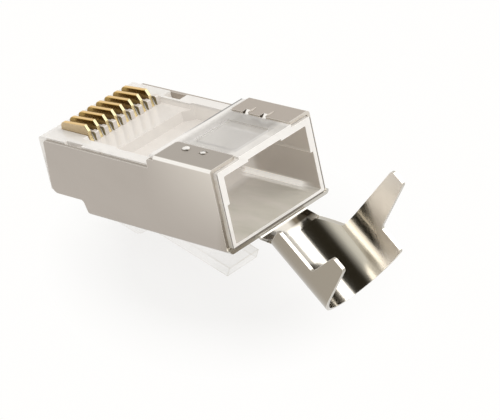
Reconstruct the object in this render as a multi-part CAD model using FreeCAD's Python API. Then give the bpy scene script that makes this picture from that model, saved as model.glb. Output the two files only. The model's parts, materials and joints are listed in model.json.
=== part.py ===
import FreeCAD, Part
import math
import os

# A shielded eight-way pass-through plug with a ground tail, in millimetres.
# It is modelled level first: X runs from the front of the shield to the cable end, Y across,
# Z from the latch side up to the contacts, and Z = 0 is the underside of the belly plate.
# At the end the whole plug is tipped onto the flat of its latch, as it lies on a table,
# and its origin is set at the middle of the box around it, on the table.

# Plug
plug_width = 11.7          # over the two side plates
plug_length = 21.8         # shield front to cable end, without the tail
nose_front = -0.45         # the clear nose stands this far out of the shield
plug_height = 7.6          # belly plate to the top of the folded tabs
nose_lift = 1.36           # the nose is this much shallower on its latch side
nose_length = 4.36         # from the shield's front to the middle of that step
step_run = 0.4             # how far the step leans
step_radius = 0.35
block_start = 13.84        # front of the raised rear block
pin_count = 8
pin_pitch = 1.02

# Shield: one folded sheet with its tail
sheet = 0.3
fold_radius = 0.35         # outside of the folds
seat_gap = 0.06            # shield to housing
plate_height = 6.38        # top edge of the side plates along the deck
plate_front_top = 0.70     # the side plates' front edge leans
plate_front_bottom = 0.23
plate_toe_radius = 0.7
plate_corner = 0.3
plate_notch_corner = 0.15
tab_front_inset = 0.86     # behind the rear block's front
plate_rear_inset = 0.35    # side plates and tabs end this far in front of the belly plate
left_tab_width = 2.95
right_tab_width = 2.5
tab_corner = 0.25
barb_first = 1.75          # middle of the first barb, behind the tab's front
barb_pitch = 2.05
barb_count = 2
barb_width = 0.6           # where it leaves the tab
barb_tip_width = 0.35
barb_root_inset = 2.0      # from the side of the plug to where a barb starts to slope
barb_length = 0.5
barb_drop = 0.25
barb_slit = 0.05

# Tail: neck, trough and two staggered ears
tail_angle = 45.0
tail_bend_radius = 0.3
neck_width = 5.4
neck_length = 1.2
tail_length = 8.14
trough_radius = 3.82       # inside
wall_flare = 5.0           # the trough's walls lean out by this angle
left_rim_height = 4.66     # heights are from the outside of the trough's bottom
left_ear_start = 5.45
left_ear_height = 8.4
left_ear_tip_start = 6.15
left_ear_tip_end = 7.5
left_ear_end_height = 2.1
left_ear_end_radius = 1.5
right_rim_height = 4.67
right_ear_start = 3.2
right_ear_height = 9.95
right_ear_tip_start = 3.24
right_ear_tip_end = 4.7
right_ear_end = 5.62
right_notch_height = 1.95
ear_corner = 0.3

# Housing: one clear moulding
deck_height = 6.5
block_height = 7.5
nose_corner = 0.6          # top front edge
side_corner = 0.25         # front edges, in plan
moulding_corner = 0.2      # the other rounded edges
cavity_floor = 0.67
cavity_ceiling = 6.67
cavity_lower_width = 10.1
cavity_upper_width = 9.56
cavity_step_height = 4.2
cavity_wall = 0.66         # between the recess and the cable cavity
cavity_corner = 0.15
groove_width = 3.9
groove_depth = 0.18
chamber_height = 4.3
chamber_start = 9.5
funnel_start = 8.2
wire_bore = 1.0
wire_stagger = 0.5
wire_height = 3.2          # middle of the two rows of wire bores
recess_width = 9.0
recess_floor = 4.9
recess_start = 7.8
recess_corner = 0.8
shelf_width = 8.6
shelf_height = 5.9
comb_end = 4.25            # where the deck ends behind the contacts
comb_foot = 4.45           # the comb's rear slopes down to here
edge_notch_length = 2.15
edge_notch_depth = 1.0
left_notch_start = 3.1
left_notch_width = 0.3
right_notch_start = 4.8
right_notch_width = 0.95
window_front_inset = 1.96  # behind the block's front
window_rear_inset = 1.2
window_width = 4.0
window_depth = 0.15
window_corner = 0.3
tab_seat_gap = 0.06
slot_gap = 0.05            # contact to its slot, each side
slot_end_gap = 0.1
slot_floor_gap = 0.15

# Contacts: eight stamped blades
contact_thickness = 0.35
contact_front = 0.85
contact_rear = 4.5
contact_knee = 4.2
contact_top = 7.4
contact_front_drop = 0.2
contact_front_radius = 0.5
contact_knee_radius = 0.2
contact_knee_height = 5.9  # where the sloping rear edge turns straight down
contact_base = 4.95
contact_tip = 4.05
contact_travel = 1.3       # how far the tool presses a blade in
tooth_count = 3
tooth_width = 0.7
tooth_tip = 0.1

# Latch: a springy bar under the plug
latch_slope = 17.0
latch_thickness = 1.0
latch_width = 6.1
tongue_width = 3.5
latch_shoulder = 6.5       # along the bar, from the root
latch_length = 15.63
latch_end_slant = 0.25
latch_end_drop = 5.46      # lowest corner, below the belly plate
latch_end_place = 15.68    # the same corner, behind the front of the shield
root_gap = 0.08
lug_front = 0.12
lug_length = 1.9
lug_clearance = 0.15
lug_corner = 0.2
latch_corner = 0.5


# Profiles

def with_radius(corner):
    """A corner as (a, b, radius), where no radius means a sharp one."""
    return corner if len(corner) == 3 else (corner[0], corner[1], 0.0)


def rounded_wire(corners, place):
    """A closed wire through corners (a, b, radius), each rounded by a tangent arc."""
    corners = [with_radius(corner) for corner in corners]
    pieces = []
    for index, (a, b, radius) in enumerate(corners):
        before = corners[index - 1]
        after = corners[(index + 1) % len(corners)]
        back = FreeCAD.Vector(before[0] - a, before[1] - b, 0).normalize()
        ahead = FreeCAD.Vector(after[0] - a, after[1] - b, 0).normalize()
        here = FreeCAD.Vector(a, b, 0)
        if radius == 0.0:
            pieces.append((here, here, here))
            continue
        half = back.getAngle(ahead) / 2
        reach = radius / math.tan(half)
        inward = (back + ahead).normalize()
        middle = here + inward * (radius / math.sin(half) - radius)
        pieces.append((here + back * reach, middle, here + ahead * reach))
    edges = []
    for index, (start, middle, end) in enumerate(pieces):
        if (end - start).Length > 1e-9:
            edges.append(Part.Arc(place(start), place(middle), place(end)).toShape())
        following = pieces[(index + 1) % len(pieces)][0]
        if (following - end).Length > 1e-9:
            edges.append(Part.LineSegment(place(end), place(following)).toShape())
    return Part.Wire(edges)


def side_slab(corners, left, right):
    """A side outline of (X, Z) corners, as thick as from Y = left to Y = right."""
    wire = rounded_wire(corners, lambda p: FreeCAD.Vector(p.x, left, p.y))
    return Part.Face(wire).extrude(FreeCAD.Vector(0, right - left, 0))


def plan_slab(corners, bottom, top):
    """A plan outline of (X, Y) corners, as thick as from Z = bottom to Z = top."""
    wire = rounded_wire(corners, lambda p: FreeCAD.Vector(p.x, p.y, bottom))
    return Part.Face(wire).extrude(FreeCAD.Vector(0, 0, top - bottom))


def cross_slab(corners, front, rear):
    """A cross-section of (Y, Z) corners, as long as from X = front to X = rear."""
    wire = rounded_wire(corners, lambda p: FreeCAD.Vector(front, p.x, p.y))
    return Part.Face(wire).extrude(FreeCAD.Vector(rear - front, 0, 0))


def block(front, rear, left, right, bottom, top):
    return Part.makeBox(rear - front, right - left, top - bottom, FreeCAD.Vector(front, left, bottom))


def pin_places():
    """The Y of each contact and its wire."""
    return [(index - (pin_count - 1) / 2) * pin_pitch for index in range(pin_count)]


def tab_width(side):
    return left_tab_width if side < 0 else right_tab_width


def tab_front():
    return block_start + tab_front_inset


def plate_rear():
    return plug_length - plate_rear_inset


def barb_places():
    """The X of each barb that has room in front of its tab's rear edge."""
    places = [tab_front() + barb_first + index * barb_pitch for index in range(barb_count)]
    return [place for place in places if place + barb_width + tab_corner < plate_rear()]


# Shield

def shell():
    """The belly plate, side plates and top tabs, as one folded section."""
    half = plug_width / 2
    inner_half = half - sheet
    outside = cross_slab([(-half, 0, fold_radius), (half, 0, fold_radius),
                          (half, plug_height, fold_radius), (-half, plug_height, fold_radius)],
                         0, plug_length)
    inner_radius = fold_radius - sheet
    inside = cross_slab([(-inner_half, sheet, inner_radius), (inner_half, sheet, inner_radius),
                         (inner_half, plug_height - sheet, inner_radius),
                         (-inner_half, plug_height - sheet, inner_radius)],
                        0, plug_length)
    tube = outside.cut(inside)
    shoulder = plug_height - fold_radius
    roof = block(0, plug_length, -half, half, shoulder, plug_height)
    for side in (-1, 1):
        inner = side * (half - tab_width(side))
        outer = side * half
        roof = roof.cut(plan_slab([(tab_front(), outer), (tab_front(), inner, tab_corner),
                                   (plate_rear(), inner, tab_corner), (plate_rear(), outer)],
                                  shoulder, plug_height))
    tube = tube.cut(roof)
    foot = nose_length + step_run / 2
    head = nose_length - step_run / 2
    outline = [(plug_length, 0), (foot, 0, step_radius), (head, nose_lift, step_radius),
               (plate_front_bottom, nose_lift, plate_toe_radius),
               (plate_front_top, plate_height, plate_corner),
               (block_start, plate_height, plate_notch_corner), (block_start, shoulder, plate_corner),
               (tab_front(), shoulder), (tab_front(), plug_height), (plate_rear(), plug_height),
               (plate_rear(), fold_radius), (plug_length, fold_radius)]
    return tube.common(side_slab(outline, -half, half))


def barb(side, place):
    """The space cut for a barb and the sloping tongue itself, which narrows to its tip."""
    root = side * (plug_width / 2 - barb_root_inset)
    tip = root - side * barb_length
    under = plug_height - sheet
    half = barb_width / 2
    narrow = barb_tip_width / 2
    left, right = sorted((root, tip - side * barb_slit))
    space = block(place - half - barb_slit, place + half + barb_slit,
                  left, right, under - sheet, plug_height + sheet)
    slope = cross_slab([(root, under), (root, plug_height),
                        (tip, plug_height - barb_drop), (tip, under - barb_drop)],
                       place - half, place + half)
    plan = plan_slab([(place - half, root), (place + half, root), (place + narrow, tip),
                      (place - narrow, tip)], under - sheet, plug_height)
    return space, slope.common(plan)


def trough_section(reach):
    """Half-round trough with leaning walls, as a face at the start of the tail."""
    lean = math.radians(90.0 - wall_flare)
    outer = trough_radius + sheet

    def on_arc(radius, angle):
        return FreeCAD.Vector(0, radius * math.sin(angle), outer - radius * math.cos(angle))

    def up_wall(radius, side):
        start = on_arc(radius, side * lean)
        return start + FreeCAD.Vector(0, side * math.cos(lean), math.sin(lean)) * reach

    corners = [up_wall(trough_radius, -1), on_arc(trough_radius, -lean),
               on_arc(trough_radius, lean), up_wall(trough_radius, 1),
               up_wall(outer, 1), on_arc(outer, lean), on_arc(outer, -lean), up_wall(outer, -1)]
    edges = [Part.LineSegment(corners[0], corners[1]).toShape(),
             Part.Arc(corners[1], on_arc(trough_radius, 0), corners[2]).toShape(),
             Part.LineSegment(corners[2], corners[3]).toShape(),
             Part.LineSegment(corners[3], corners[4]).toShape(),
             Part.LineSegment(corners[4], corners[5]).toShape(),
             Part.Arc(corners[5], on_arc(outer, 0), corners[6]).toShape(),
             Part.LineSegment(corners[6], corners[7]).toShape(),
             Part.LineSegment(corners[7], corners[0]).toShape()]
    return Part.Face(Part.Wire(edges))


def trough():
    """The trough with its two ears, cut to its side outlines in the tail's own level frame."""
    tallest = max(left_ear_height, right_ear_height)
    outer = trough_radius + sheet
    whole = trough_section(tallest).extrude(FreeCAD.Vector(tail_length, 0, 0))
    below = -sheet
    neck_half = neck_width / 2
    neck_rise = outer - math.sqrt(outer ** 2 - neck_half ** 2)
    right_outline = [(neck_length, below), (neck_length, neck_rise),
                     (right_ear_start, right_notch_height, ear_corner),
                     (right_ear_tip_start, right_ear_height, ear_corner),
                     (right_ear_tip_end, right_ear_height, ear_corner),
                     (right_ear_end, right_rim_height, ear_corner),
                     (tail_length, right_rim_height, ear_corner), (tail_length, below)]
    left_outline = [(neck_length, below), (neck_length, left_rim_height, ear_corner),
                    (left_ear_start, left_rim_height, ear_corner),
                    (left_ear_tip_start, left_ear_height, ear_corner),
                    (left_ear_tip_end, left_ear_height, ear_corner),
                    (tail_length, left_ear_end_height, left_ear_end_radius), (tail_length, below)]
    side = tallest + outer
    right = whole.common(side_slab(right_outline, 0, side))
    left = whole.common(side_slab(left_outline, -side, 0))
    return right.fuse(left)


def neck():
    """The flat strip behind the bend, dishing into the trough's round bottom."""
    outer = trough_radius + sheet
    half = neck_width / 2

    def flat_section():
        corners = [(-half, 0), (half, 0), (half, sheet), (-half, sheet)]
        return rounded_wire(corners, lambda p: FreeCAD.Vector(0, p.x, p.y))

    def dished_section():
        def point(radius, fraction):
            angle = fraction * math.asin(half / outer)
            return FreeCAD.Vector(neck_length, radius * math.sin(angle),
                                  outer - radius * math.cos(angle))
        edges = [Part.Arc(point(outer, -1), point(outer, 0), point(outer, 1)).toShape(),
                 Part.LineSegment(point(outer, 1), point(trough_radius, 1)).toShape(),
                 Part.Arc(point(trough_radius, 1), point(trough_radius, 0),
                          point(trough_radius, -1)).toShape(),
                 Part.LineSegment(point(trough_radius, -1), point(outer, -1)).toShape()]
        return Part.Wire(edges)

    return Part.makeLoft([flat_section(), dished_section()], True, True)


def tail():
    """The bend off the belly plate's rear edge, then the neck and trough laid along it."""
    strip = rounded_wire([(-neck_width / 2, 0), (neck_width / 2, 0),
                          (neck_width / 2, sheet), (-neck_width / 2, sheet)],
                         lambda p: FreeCAD.Vector(plug_length, p.x, p.y))
    axis = FreeCAD.Vector(plug_length, 0, -tail_bend_radius)
    bend = Part.Face(strip).revolve(axis, FreeCAD.Vector(0, 1, 0), tail_angle)
    laid = neck().fuse(trough())
    laid.translate(FreeCAD.Vector(plug_length, 0, 0))
    laid.rotate(axis, FreeCAD.Vector(0, 1, 0), tail_angle)
    return bend.fuse(laid)


def make_shield():
    shape = shell()
    for side in (-1, 1):
        for place in barb_places():
            space, tongue = barb(side, place)
            shape = shape.cut(space).fuse(tongue)
    return shape.fuse(tail()).removeSplitter()


# Housing

def housing_sections():
    """The moulding's full cross-section, and the one behind it that seats under the shield's tabs."""
    half = plug_width / 2 - sheet - seat_gap
    floor = sheet + seat_gap
    seat = plug_height - sheet - seat_gap
    seat_front = tab_front() - tab_seat_gap
    left = left_tab_width + tab_seat_gap - plug_width / 2
    right = plug_width / 2 - right_tab_width - tab_seat_gap
    edge = moulding_corner
    full = cross_slab([(-half, floor, edge), (half, floor, edge),
                       (half, block_height, edge), (-half, block_height, edge)],
                      nose_front, seat_front)
    stepped = cross_slab([(-half, floor, edge), (half, floor, edge), (half, seat, edge),
                          (right, seat), (right, block_height), (left, block_height),
                          (left, seat), (-half, seat, edge)], seat_front, plug_length)
    return full.fuse(stepped)


def housing_blank():
    """The moulding's outside: its side outline, rounded nose corners and cross-sections."""
    half = plug_width / 2 - sheet - seat_gap
    floor = sheet + seat_gap
    foot = nose_length + step_run / 2 + seat_gap + sheet
    head = foot - step_run
    corner = moulding_corner
    blank = side_slab([(nose_front, nose_lift, corner), (nose_front, deck_height, nose_corner),
                       (block_start, deck_height), (block_start, block_height, corner),
                       (plug_length, block_height), (plug_length, floor),
                       (foot, floor, corner), (head, nose_lift, corner)], -half, half)
    nose = plan_slab([(nose_front, -half, side_corner), (plug_length, -half),
                      (plug_length, half), (nose_front, half, side_corner)], 0, plug_height)
    return blank.common(nose).common(housing_sections())


def barb_pocket(side, place):
    """The room under a barb, where its tongue bites in, open to the step beside the tab."""
    root = side * (plug_width / 2 - barb_root_inset + tab_seat_gap)
    step = side * (plug_width / 2 - tab_width(side) - tab_seat_gap)
    left, right = sorted((root, step))
    half = barb_width / 2 + tab_seat_gap
    floor = plug_height - sheet - barb_drop - tab_seat_gap
    return block(place - half, place + half, left, right, floor, plug_height)


def cable_cavity():
    """The open rear mouth, the chamber in front of it and the funnel to the wire bores."""
    lower = cavity_lower_width / 2
    upper = cavity_upper_width / 2
    groove = groove_width / 2
    corner = cavity_corner
    mouth_front = block_start + cavity_wall
    mouth = cross_slab([(-lower, cavity_floor, corner), (lower, cavity_floor, corner),
                        (lower, cavity_step_height), (upper, cavity_step_height),
                        (upper, cavity_ceiling, corner),
                        (groove, cavity_ceiling), (groove, cavity_ceiling + groove_depth),
                        (-groove, cavity_ceiling + groove_depth), (-groove, cavity_ceiling),
                        (-upper, cavity_ceiling, corner),
                        (-upper, cavity_step_height), (-lower, cavity_step_height)],
                       mouth_front, plug_length + sheet)
    chamber = block(chamber_start, mouth_front + sheet, -lower, lower, cavity_floor, chamber_height)
    narrow = pin_places()[-1] + wire_bore / 2
    tall = (wire_stagger + wire_bore) / 2
    sections = []
    for place, half, bottom, top in ((chamber_start, lower, cavity_floor, chamber_height),
                                     (funnel_start, narrow, wire_height - tall, wire_height + tall)):
        corners = [(-half, bottom), (half, bottom), (half, top), (-half, top)]
        sections.append(rounded_wire(corners, lambda p, x=place: FreeCAD.Vector(x, p.x, p.y)))
    funnel = Part.makeLoft(sections, True, True)
    return mouth.fuse([chamber, funnel])


def wire_bores():
    """A bore for each wire, right through the nose, the even ones a little higher."""
    bores = []
    for index, place in enumerate(pin_places()):
        height = wire_height + (index % 2 - 0.5) * wire_stagger
        start = FreeCAD.Vector(nose_front - sheet, place, height)
        bores.append(Part.makeCylinder(wire_bore / 2, funnel_start + sheet - start.x, start,
                                       FreeCAD.Vector(1, 0, 0)))
    return bores


def contact_slots():
    half = contact_thickness / 2 + slot_gap
    floor = contact_tip - contact_travel - slot_floor_gap
    return [block(contact_front - slot_end_gap, contact_rear + slot_end_gap,
                  place - half, place + half, floor, plug_height) for place in pin_places()]


def deck_cuts():
    """The sloping back of the comb, the shelf, the recess and the notches in the deck's edges."""
    shelf_half = shelf_width / 2
    recess_half = recess_width / 2
    shelf = side_slab([(comb_end, plug_height), (comb_end, deck_height),
                       (comb_foot, shelf_height), (recess_start + recess_corner, shelf_height),
                       (recess_start + recess_corner, plug_height)], -shelf_half, shelf_half)
    recess = plan_slab([(recess_start, -recess_half + recess_corner),
                        (recess_start + recess_corner, -recess_half),
                        (block_start, -recess_half), (block_start, recess_half),
                        (recess_start + recess_corner, recess_half),
                        (recess_start, recess_half - recess_corner)], recess_floor, deck_height + sheet)
    cuts = [shelf, recess]
    edge = plug_width / 2
    for side, start, width in ((-1, left_notch_start, left_notch_width),
                               (1, right_notch_start, right_notch_width)):
        left, right = sorted((side * edge, side * (edge - sheet - seat_gap - width)))
        cuts.append(block(start, start + edge_notch_length, left, right,
                          deck_height - edge_notch_depth, deck_height + sheet))
    wide = window_width / 2
    front = block_start + window_front_inset
    rear = plug_length - window_rear_inset
    window = plan_slab([(front, -wide, window_corner), (rear, -wide, window_corner),
                        (rear, wide, window_corner), (front, wide, window_corner)],
                       block_height - window_depth, block_height + sheet)
    return cuts + [window]


def latch_root():
    """The centre of the latch's flexing root, as (X, Z)."""
    slope = math.radians(latch_slope)
    half = latch_thickness / 2
    along = latch_end_place - latch_length * math.cos(slope) + half * math.sin(slope)
    height = -latch_end_drop + latch_length * math.sin(slope) + half * math.cos(slope)
    return along, height


def latch_lug():
    """The root of the latch on the nose: a short leg with a round seat for the bar's end."""
    along, height = latch_root()
    clear = height + latch_thickness / 2 + lug_clearance
    leg = side_slab([(lug_front, nose_lift + sheet), (lug_front, height, lug_corner), (along, height),
                     (along, clear), (lug_front + lug_length, clear, lug_corner),
                     (lug_front + lug_length, nose_lift + sheet)],
                    -latch_width / 2, latch_width / 2)
    seat = Part.makeCylinder(latch_thickness / 2 + root_gap, latch_width,
                             FreeCAD.Vector(along, -latch_width / 2, height),
                             FreeCAD.Vector(0, 1, 0))
    return leg.cut(seat)


def make_housing():
    shape = housing_blank()
    cuts = [cable_cavity()] + wire_bores() + contact_slots() + deck_cuts()
    for side in (-1, 1):
        cuts += [barb_pocket(side, place) for place in barb_places()]
    for cut in cuts:
        shape = shape.cut(cut)
    return shape.fuse(latch_lug()).removeSplitter()


# Contacts and latch

def make_contact(place):
    """One stamped blade: rounded front, sloping rear edge and piercing teeth."""
    front_top = contact_top - contact_front_drop
    corners = [(contact_front, contact_base), (contact_front, front_top, contact_front_radius),
               (contact_knee, contact_top, contact_knee_radius), (contact_rear, contact_knee_height),
               (contact_rear, contact_base)]
    spacing = (contact_rear - contact_front) / tooth_count
    for index in range(tooth_count):
        middle = contact_rear - (index + 0.5) * spacing
        corners += [(middle + tooth_width / 2, contact_base), (middle + tooth_tip / 2, contact_tip),
                    (middle - tooth_tip / 2, contact_tip), (middle - tooth_width / 2, contact_base)]
    half = contact_thickness / 2
    return side_slab(corners, place - half, place + half)


def make_latch():
    """The bar from its round root to its slanted end: wide to the shoulders, then the tongue."""
    half = latch_thickness / 2
    bar = side_slab([(0, half), (0, -half), (latch_length, -half),
                     (latch_length + latch_end_slant, half)], -latch_width / 2, latch_width / 2)
    root = Part.makeCylinder(half, latch_width, FreeCAD.Vector(0, -latch_width / 2, 0),
                             FreeCAD.Vector(0, 1, 0))
    wide = latch_width / 2
    narrow = tongue_width / 2
    end = latch_length + latch_thickness
    plan = plan_slab([(-half, -wide), (latch_shoulder, -wide, latch_corner),
                      (latch_shoulder, -narrow, latch_corner), (end, -narrow),
                      (end, narrow), (latch_shoulder, narrow, latch_corner),
                      (latch_shoulder, wide, latch_corner), (-half, wide)], -half, half)
    shape = bar.fuse(root).common(plan).removeSplitter()
    along, height = latch_root()
    shape.rotate(FreeCAD.Vector(0, 0, 0), FreeCAD.Vector(0, 1, 0), latch_slope)
    shape.translate(FreeCAD.Vector(along, 0, height))
    return shape


# The whole plug

def level_pieces():
    pieces = {"shield": make_shield(), "housing": make_housing(), "latch": make_latch()}
    for index, place in enumerate(pin_places()):
        pieces[f"contact_{index + 1}"] = make_contact(place)
    return pieces


def rest_move(pieces):
    """Tips the plug onto the flat of its latch and centres it over the origin."""
    across = FreeCAD.Vector(0, 1, 0)
    tip = FreeCAD.Placement(FreeCAD.Vector(0, 0, 0), FreeCAD.Rotation(across, -latch_slope))
    whole = Part.makeCompound(list(pieces.values())).transformed(tip.toMatrix(), True)
    box = whole.optimalBoundingBox(False, False)
    lift = FreeCAD.Placement(FreeCAD.Vector(-box.Center.x, -box.Center.y, -box.ZMin), FreeCAD.Rotation())
    return lift.multiply(tip)


def main():
    os.makedirs("parts", exist_ok=True)
    pieces = level_pieces()
    move = rest_move(pieces).toMatrix()
    for name, shape in pieces.items():
        placed = shape.transformed(move, True)
        placed.exportStep(f"parts/{name}.step")
        print(name, "solids", len(placed.Solids), "valid", placed.isValid(),
              "volume", round(placed.Volume, 3))


main()
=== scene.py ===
# %% [markdown]
# # A shielded pass-through plug on a pale table
# The plug has a clear moulded body in a folded metal shield, eight gold blades on top and a
# curved tail that is crimped round the cable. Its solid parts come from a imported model, in
# metres, and this lesson gives them their edges, their finishes, a camera and soft light.
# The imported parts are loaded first, because every later piece takes its place from them.

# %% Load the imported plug
import json
import math

import bmesh
import bpy
from mathutils import Matrix, Vector


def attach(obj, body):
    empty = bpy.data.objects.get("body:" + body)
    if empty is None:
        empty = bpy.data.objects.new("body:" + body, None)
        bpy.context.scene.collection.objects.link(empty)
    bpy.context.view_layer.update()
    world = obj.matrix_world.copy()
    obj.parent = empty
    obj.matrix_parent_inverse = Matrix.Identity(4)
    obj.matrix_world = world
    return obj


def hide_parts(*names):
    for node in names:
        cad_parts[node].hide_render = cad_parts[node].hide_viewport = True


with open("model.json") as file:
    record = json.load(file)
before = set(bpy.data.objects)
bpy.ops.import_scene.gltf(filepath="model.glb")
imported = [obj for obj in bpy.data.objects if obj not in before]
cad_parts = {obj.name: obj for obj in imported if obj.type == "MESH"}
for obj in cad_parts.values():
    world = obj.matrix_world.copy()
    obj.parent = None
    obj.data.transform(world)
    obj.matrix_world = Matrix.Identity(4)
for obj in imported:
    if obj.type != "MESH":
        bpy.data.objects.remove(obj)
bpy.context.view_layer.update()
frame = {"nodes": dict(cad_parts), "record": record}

NODES = frame["nodes"]
MILLIMETRE = 0.001
print("parts:", sorted(NODES))

# %% [markdown]
# The plug lies on the flat of its latch, so its body leans nose down. Places on it are easier
# to give in the plug's own level frame: X from the nose to the cable end, Y across and Z up
# through the contacts, in millimetres. An empty object could hold that frame, but two small
# functions do the same and leave nothing in the scene. The cable mouth, whose place and
# direction the model states, fixes the frame.

# %% The plug's own level frame
MOUNTS = {mount["name"]: mount for mount in frame["record"]["mounts"]}
MOUTH_PLACE = (21.8, 0.0, 3.67)
ALONG = Vector(MOUNTS["cable_mouth"]["axis"]).normalized()
ACROSS = Vector((0, 1, 0))
UPWARD = ALONG.cross(ACROSS)


def level_turn(direction):
    """A direction in the plug's level frame, turned to the way the plug lies."""
    return ALONG * direction[0] + ACROSS * direction[1] + UPWARD * direction[2]


START = Vector(MOUNTS["cable_mouth"]["pos_m"]) - level_turn(MOUTH_PLACE) * MILLIMETRE


def level_point(x, y, z):
    """A place on the level plug, in millimetres, as a place in the scene, in metres."""
    return START + level_turn((x, y, z)) * MILLIMETRE


print("lean in degrees:", round(math.degrees(math.asin(ALONG.z)), 2))

# %% [markdown]
# The camera stands where the photographer's stood. Its place was found by matching known
# points of the plug, such as the corners of the cable mouth, with their places in the picture.
# It could be placed by eye, but then no edge would ever line up. It is kept as three angles and
# a distance about a point in the plug, and the long lens gives the flat perspective of a product
# picture. The camera is turned a little, so that the plug lies left of the middle without any
# lens shift.

# %% Camera
PICTURE_WIDTH = 500
PICTURE_HEIGHT = 420
SENSOR_WIDTH = 36.0
AIM_POINT = (11.0, 0.0, 4.0)
AIM_PIXEL = (180.52, 156.95)
VIEW_AZIMUTH = 51.444
VIEW_ELEVATION = 24.587
VIEW_ROLL = -13.148
VIEW_DISTANCE = 250.0
FOCAL_PIXELS = 2995.0


def camera_axes():
    """The camera's right, up and backward directions, as the plug lies."""
    azimuth, elevation, roll = (math.radians(a) for a in (VIEW_AZIMUTH, VIEW_ELEVATION, VIEW_ROLL))
    back = Vector((math.sin(azimuth) * math.cos(elevation),
                   -math.cos(azimuth) * math.cos(elevation), math.sin(elevation)))
    right = Vector((0, 0, 1)).cross(back).normalized()
    up = back.cross(right)
    turned_right = right * math.cos(roll) + up * math.sin(roll)
    turned_up = up * math.cos(roll) - right * math.sin(roll)
    return [level_turn(axis) for axis in (turned_right, turned_up, back)]


def add_camera():
    """The camera, turned so that the aim point falls on its place in the picture."""
    right, up, back = camera_axes()
    place = level_point(*AIM_POINT) + back * VIEW_DISTANCE * MILLIMETRE
    aside = (PICTURE_WIDTH / 2 - AIM_PIXEL[0]) / FOCAL_PIXELS
    below = (PICTURE_HEIGHT / 2 - AIM_PIXEL[1]) / FOCAL_PIXELS
    back = (back - right * aside + up * below).normalized()
    right = up.cross(back).normalized()
    up = back.cross(right)
    data = bpy.data.cameras.new("camera")
    data.sensor_width = SENSOR_WIDTH
    data.lens = FOCAL_PIXELS / PICTURE_WIDTH * SENSOR_WIDTH
    data.clip_start = 0.01
    data.clip_end = 10.0
    camera = bpy.data.objects.new("camera", data)
    camera.matrix_world = Matrix.Translation(place) @ Matrix((right, up, back)).transposed().to_4x4()
    bpy.context.scene.collection.objects.link(camera)
    bpy.context.scene.camera = camera
    return camera


camera = add_camera()
print("camera at", [round(c, 3) for c in camera.matrix_world.translation],
      "lens", round(camera.data.lens, 1))

# %% [markdown]
# ## Helpers for node trees
# A finish is a tree of nodes, and most nodes are added in the same way: make the node, set its
# values and link what feeds it. The trees could be drawn by hand in the shader editor, but a
# script can be read, changed and run again. These helpers take a plain value or another node's
# socket alike, so that a finish reads like a list of what it is made of.

# %% Node helpers


def feed(tree, socket, value):
    """Links a socket, or sets a plain value."""
    if isinstance(value, bpy.types.NodeSocket):
        tree.links.new(value, socket)
    elif isinstance(value, tuple) and socket.type == "RGBA":
        socket.default_value = (*value, 1.0)[:4]
    else:
        socket.default_value = value


def add_node(tree, kind, values=None, **settings):
    """A shader node with its settings, and with its inputs by name or number."""
    node = tree.nodes.new("ShaderNode" + kind)
    for name, value in settings.items():
        setattr(node, name, value)
    for name, value in (values or {}).items():
        feed(tree, node.inputs[name], value)
    return node


def maths(tree, operation, first, second, clamp=False):
    """One sum on two masks or numbers."""
    return add_node(tree, "Math", {0: first, 1: second}, operation=operation, use_clamp=clamp).outputs[0]


def ramp(tree, value, start, end, low=0.0, high=1.0):
    """Turns a value that runs from start to end into one that runs from low to high."""
    return add_node(tree, "MapRange", {"Value": value, "From Min": start, "From Max": end,
                                       "To Min": low, "To Max": high}).outputs[0]


def between(tree, mask, low, high):
    """Turns a mask into a value: low where it is black, high where it is white."""
    return ramp(tree, mask, 0.0, 1.0, low, high)


def mix_colors(tree, mask, first, second):
    """The first colour where the mask is black, the second where it is white."""
    return add_node(tree, "Mix", {"Factor": mask, 6: first, 7: second}, data_type="RGBA").outputs[2]


def new_material(name, surface="BsdfPrincipled"):
    """A material with one surface shader. Returns it, its tree and the shader node."""
    material = bpy.data.materials.new(name)
    material.use_nodes = True
    tree = material.node_tree
    tree.nodes.clear()
    shader = add_node(tree, surface)
    add_node(tree, "OutputMaterial", {"Surface": shader.outputs[0]})
    return material, tree, shader


def set_shader(tree, shader, values):
    """Gives a shader its inputs, by name."""
    for name, value in values.items():
        feed(tree, shader.inputs[name], value)


print("helpers ready")

# %% [markdown]
# ## Light
# The plug lies in a white room: one white world, which the metal and the clear plastic also
# show. A ray that comes straight from the camera, or by way of a mirror or clear plastic, sees
# plain white. A ray that only lights something finds the room dimmer, so that the plug keeps
# its own tones. White walls could be built, but a world needs no mesh and casts no shadow.

# %% Room
ROOM_LIGHT = 0.62
ROOM_WHITE = (1.0, 0.995, 0.985)


def seen_ray(tree):
    """1 for a ray from the camera, a mirror or clear plastic, 0 for one that only lights."""
    paths = add_node(tree, "LightPath").outputs
    mirrored = maths(tree, "MAXIMUM", paths["Is Glossy Ray"], paths["Is Transmission Ray"])
    return maths(tree, "MAXIMUM", paths["Is Camera Ray"], mirrored)


def set_room():
    world = bpy.data.worlds.new("room")
    bpy.context.scene.world = world
    world.use_nodes = True
    tree = world.node_tree
    tree.nodes.clear()
    strength = between(tree, seen_ray(tree), ROOM_LIGHT, 1.0)
    background = add_node(tree, "Background", {"Color": ROOM_WHITE, "Strength": strength})
    add_node(tree, "OutputWorld", {"Surface": background.outputs[0]})
    return world


print("world:", set_room().name)

# %% [markdown]
# One large soft lamp lies long beside the tail, because a rounded metal sheet shows a lamp as a
# band along its length. A small lamp or a round one would leave a dot instead. Its place is given
# by the tail: square to it, and turned about it by an angle that was found by trying, until the
# bright band lay where the photograph has it.

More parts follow.
